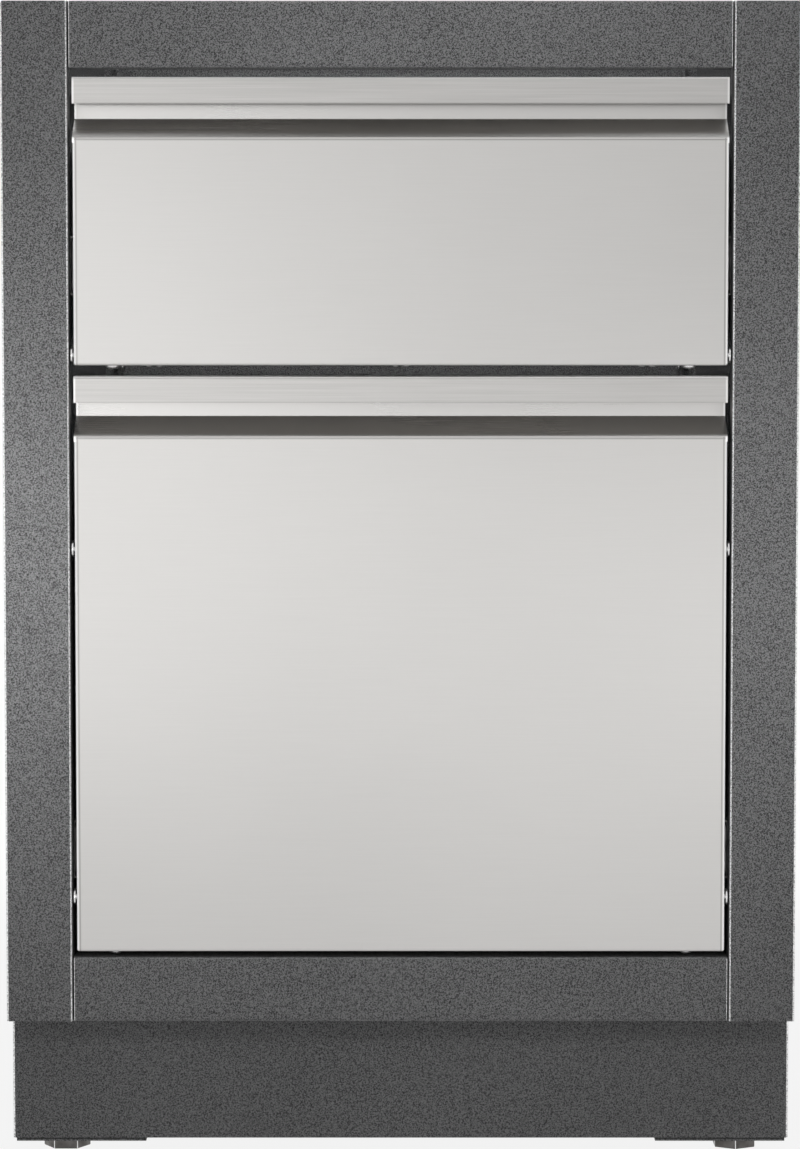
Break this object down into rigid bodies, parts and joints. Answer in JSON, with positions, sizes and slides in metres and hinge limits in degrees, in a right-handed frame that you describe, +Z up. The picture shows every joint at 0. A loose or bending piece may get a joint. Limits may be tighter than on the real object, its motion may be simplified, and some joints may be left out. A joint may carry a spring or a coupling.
{
  "type": "trash drawer cabinet",
  "caption": "Free-standing outdoor kitchen base cabinet with a storage drawer above a tall pull-out trash drawer, brushed steel fronts in a charcoal steel frame.",
  "frame": {"origin": "on the floor, under the centre of the cabinet's plan", "axes": "+Z up, -Y out of the drawer fronts towards the user, +X to the user's right"},
  "size_m": [0.61, 0.61, 0.901],
  "materials": {
    "charcoal_paint": "charcoal hammer-textured powder coat on steel sheet",
    "brushed_stainless": "stainless steel sheet with a fine horizontal brushed grain",
    "zinc_plated_steel": "zinc-plated steel",
    "stainless_fasteners": "bright stainless steel fasteners",
    "bin_plastic": "moulded black polypropylene"
  },
  "bodies": {
    "cabinet": {"front_left_post": "charcoal_paint", "front_right_post": "charcoal_paint", "rear_left_post": "charcoal_paint", "rear_right_post": "charcoal_paint", "front_top_rail": "charcoal_paint", "front_bottom_rail": "charcoal_paint", "rear_top_rail": "charcoal_paint", "rear_bottom_rail": "charcoal_paint", "corner_brackets": "charcoal_paint", "left_side_panel": "charcoal_paint", "right_side_panel": "charcoal_paint", "back_panel": "charcoal_paint", "floor_panel": "charcoal_paint", "left_slide_liner": "charcoal_paint", "right_slide_liner": "charcoal_paint", "toe_kick": "charcoal_paint", "rear_plinth": "charcoal_paint", "left_plinth": "charcoal_paint", "right_plinth": "charcoal_paint", "foot_plates": "charcoal_paint", "foot_nuts": "zinc_plated_steel", "upper_left_slide_rail": "zinc_plated_steel", "upper_right_slide_rail": "zinc_plated_steel", "lower_left_slide_rail": "zinc_plated_steel", "lower_right_slide_rail": "zinc_plated_steel", "back_panel_screws": "stainless_fasteners", "slide_rivets": "stainless_fasteners"},
    "front_left_leveller": {"front_left_foot": "zinc_plated_steel"},
    "front_right_leveller": {"front_right_foot": "zinc_plated_steel"},
    "rear_left_leveller": {"rear_left_foot": "zinc_plated_steel"},
    "rear_right_leveller": {"rear_right_foot": "zinc_plated_steel"},
    "upper_drawer": {"upper_front": "brushed_stainless", "upper_box_front": "charcoal_paint", "upper_box_left": "charcoal_paint", "upper_box_right": "charcoal_paint", "upper_box_bottom": "charcoal_paint", "upper_box_back": "charcoal_paint", "upper_left_runner": "zinc_plated_steel", "upper_right_runner": "zinc_plated_steel", "upper_runner_screws": "stainless_fasteners", "upper_front_fasteners": "stainless_fasteners"},
    "upper_slide_middles": {"upper_slide_middles": "zinc_plated_steel"},
    "upper_outer_ball_cages": {"upper_outer_ball_cages": "zinc_plated_steel"},
    "upper_inner_ball_cages": {"upper_inner_ball_cages": "zinc_plated_steel"},
    "lower_drawer": {"lower_front": "brushed_stainless", "lower_box_front": "charcoal_paint", "lower_box_left": "charcoal_paint", "lower_box_right": "charcoal_paint", "lower_box_bottom": "charcoal_paint", "lower_box_back": "charcoal_paint", "lower_left_runner": "zinc_plated_steel", "lower_right_runner": "zinc_plated_steel", "lower_runner_screws": "stainless_fasteners", "lower_front_fasteners": "stainless_fasteners", "trash_bin": "bin_plastic", "bin_stops": "zinc_plated_steel"},
    "lower_slide_middles": {"lower_slide_middles": "zinc_plated_steel"},
    "lower_outer_ball_cages": {"lower_outer_ball_cages": "zinc_plated_steel"},
    "lower_inner_ball_cages": {"lower_inner_ball_cages": "zinc_plated_steel"}
  },
  "joints": [
    {"name": "upper_drawer_slide", "type": "slide", "parent": "cabinet", "child": "upper_drawer", "axis": [0, -1, 0], "range_m": [0, 0.4]},
    {"name": "upper_slide_middles_travel", "type": "slide", "parent": "cabinet", "child": "upper_slide_middles", "axis": [0, -1, 0], "range_m": [0, 0.2]},
    {"name": "upper_outer_ball_cages_travel", "type": "slide", "parent": "cabinet", "child": "upper_outer_ball_cages", "axis": [0, -1, 0], "range_m": [0, 0.1]},
    {"name": "upper_inner_ball_cages_travel", "type": "slide", "parent": "cabinet", "child": "upper_inner_ball_cages", "axis": [0, -1, 0], "range_m": [0, 0.3]},
    {"name": "lower_drawer_slide", "type": "slide", "parent": "cabinet", "child": "lower_drawer", "axis": [0, -1, 0], "range_m": [0, 0.4]},
    {"name": "lower_slide_middles_travel", "type": "slide", "parent": "cabinet", "child": "lower_slide_middles", "axis": [0, -1, 0], "range_m": [0, 0.2]},
    {"name": "lower_outer_ball_cages_travel", "type": "slide", "parent": "cabinet", "child": "lower_outer_ball_cages", "axis": [0, -1, 0], "range_m": [0, 0.1]},
    {"name": "lower_inner_ball_cages_travel", "type": "slide", "parent": "cabinet", "child": "lower_inner_ball_cages", "axis": [0, -1, 0], "range_m": [0, 0.3]},
    {"name": "front_left_foot_height", "type": "slide", "parent": "cabinet", "child": "front_left_leveller", "axis": [0, 0, -1], "range_m": [0, 0.02]},
    {"name": "front_right_foot_height", "type": "slide", "parent": "cabinet", "child": "front_right_leveller", "axis": [0, 0, -1], "range_m": [0, 0.02]},
    {"name": "rear_left_foot_height", "type": "slide", "parent": "cabinet", "child": "rear_left_leveller", "axis": [0, 0, -1], "range_m": [0, 0.02]},
    {"name": "rear_right_foot_height", "type": "slide", "parent": "cabinet", "child": "rear_right_leveller", "axis": [0, 0, -1], "range_m": [0, 0.02]}
  ],
  "couplings": [
    {"joint": "upper_slide_middles_travel", "follows": "upper_drawer_slide", "ratio": 0.5},
    {"joint": "upper_outer_ball_cages_travel", "follows": "upper_drawer_slide", "ratio": 0.25},
    {"joint": "upper_inner_ball_cages_travel", "follows": "upper_drawer_slide", "ratio": 0.75},
    {"joint": "lower_slide_middles_travel", "follows": "lower_drawer_slide", "ratio": 0.5},
    {"joint": "lower_outer_ball_cages_travel", "follows": "lower_drawer_slide", "ratio": 0.25},
    {"joint": "lower_inner_ball_cages_travel", "follows": "lower_drawer_slide", "ratio": 0.75}
  ]
}
